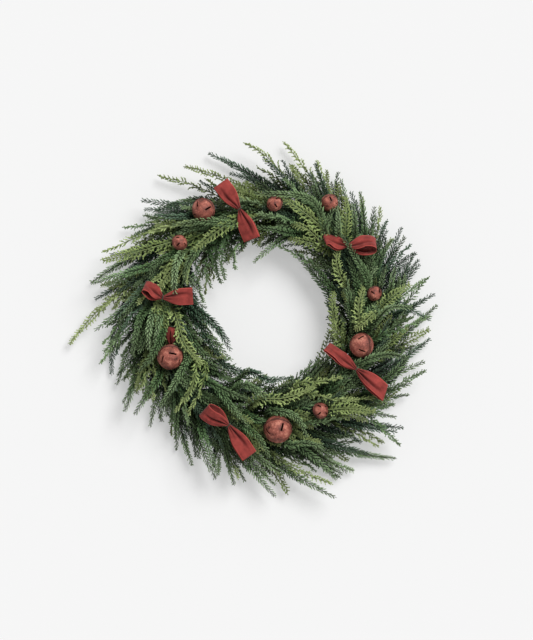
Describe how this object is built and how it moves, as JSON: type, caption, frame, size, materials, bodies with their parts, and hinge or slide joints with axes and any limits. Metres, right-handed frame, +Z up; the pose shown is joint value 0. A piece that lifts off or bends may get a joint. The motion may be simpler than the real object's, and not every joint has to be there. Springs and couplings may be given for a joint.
{
  "type": "fresh evergreen wreath",
  "caption": "Round wreath of evergreen sprays bound to a wire frame, trimmed with rusty round jingle bells and red ribbon bows.",
  "frame": {"origin": "middle of the whole wreath's outline, on the surface it lies on", "axes": "+Z up, out of the face of the wreath, which lies on its back, +Y towards the top of the wreath as it is hung, +X to the right seen from the front"},
  "size_m": [0.721, 0.6928, 0.1061],
  "materials": {
    "frame_wire": "dark green painted steel wire, satin",
    "binding_wire": "green florist's wire, satin",
    "pine_green": "fresh mid-green needles, matt",
    "dark_fir_green": "fresh dark needles, matt",
    "cedar_green": "fresh yellow-green fronds, matt",
    "rusty_bell": "mottled rust-red patina, matt",
    "bell_ball": "plain steel",
    "ribbon": "brick-red woven ribbon, matt"
  },
  "bodies": {
    "root": {"wire_frame": "frame_wire", "binding_wire": "binding_wire", "pine_bunch_01": "pine_green", "dark_fir_bunch_02": "dark_fir_green", "cedar_bunch_03": "cedar_green", "pine_bunch_04": "pine_green", "dark_fir_bunch_05": "dark_fir_green", "pine_bunch_06": "pine_green", "cedar_bunch_07": "cedar_green", "pine_bunch_08": "pine_green", "pine_bunch_09": "pine_green", "cedar_bunch_10": "cedar_green", "pine_bunch_11": "pine_green", "dark_fir_bunch_12": "dark_fir_green", "pine_bunch_13": "pine_green", "pine_bunch_14": "pine_green", "cedar_bunch_15": "cedar_green", "pine_bunch_16": "pine_green", "pine_bunch_17": "pine_green", "dark_fir_bunch_18": "dark_fir_green", "pine_bunch_19": "pine_green", "cedar_bunch_20": "cedar_green", "pine_bunch_21": "pine_green", "pine_bunch_22": "pine_green", "cedar_bunch_23": "cedar_green", "pine_bunch_24": "pine_green", "dark_fir_bunch_25": "dark_fir_green", "cedar_bunch_26": "cedar_green", "pine_bunch_27": "pine_green", "pine_bunch_28": "pine_green", "bell_1_shell": "rusty_bell", "bell_1_ball": "bell_ball", "bell_2_shell": "rusty_bell", "bell_2_ball": "bell_ball", "bell_3_shell": "rusty_bell", "bell_3_ball": "bell_ball", "bell_4_shell": "rusty_bell", "bell_4_ball": "bell_ball", "bell_5_shell": "rusty_bell", "bell_5_ball": "bell_ball", "bell_6_shell": "rusty_bell", "bell_6_ball": "bell_ball", "bell_7_shell": "rusty_bell", "bell_7_ball": "bell_ball", "bell_8_shell": "rusty_bell", "bell_8_ball": "bell_ball", "bell_9_shell": "rusty_bell", "bell_9_ball": "bell_ball", "bow_1": "ribbon", "bow_2": "ribbon", "bow_3": "ribbon", "bow_4": "ribbon", "bow_5": "ribbon", "bell_7_ribbon": "ribbon"}
  },
  "joints": []
}
